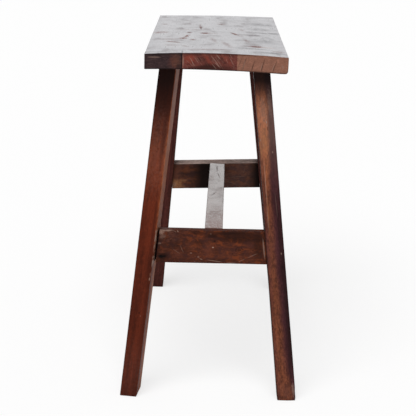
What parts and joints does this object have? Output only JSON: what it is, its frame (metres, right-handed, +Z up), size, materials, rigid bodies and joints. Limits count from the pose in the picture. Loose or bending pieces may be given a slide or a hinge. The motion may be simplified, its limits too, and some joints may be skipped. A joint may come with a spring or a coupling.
{
  "type": "bench",
  "caption": "Tall narrow wooden bench: edge-glued board seat on splayed legs tenoned into it, tied at half height by an H of stretchers.",
  "frame": {"origin": "on the floor, in the middle of the rectangle that the four feet reach", "axes": "+Z up, Y along the seat, with the end shown in the picture facing -Y, and +X to that view's right"},
  "size_m": [0.3938, 0.7238, 0.75],
  "materials": {
    "seat": "worn dark stain under satin lacquer",
    "legs": "worn dark stain under satin lacquer",
    "stretchers": "worn dark stain under satin lacquer",
    "dowels": "bare turned hardwood"
  },
  "bodies": {
    "root": {"seat_board_left": "seat", "seat_board_middle": "seat", "seat_board_right": "seat", "seat_dowels_left": "dowels", "seat_dowels_right": "dowels", "leg_front_left": "legs", "leg_front_right": "legs", "leg_back_left": "legs", "leg_back_right": "legs", "end_stretcher_front": "stretchers", "end_stretcher_back": "stretchers", "centre_stretcher": "stretchers"}
  },
  "joints": []
}
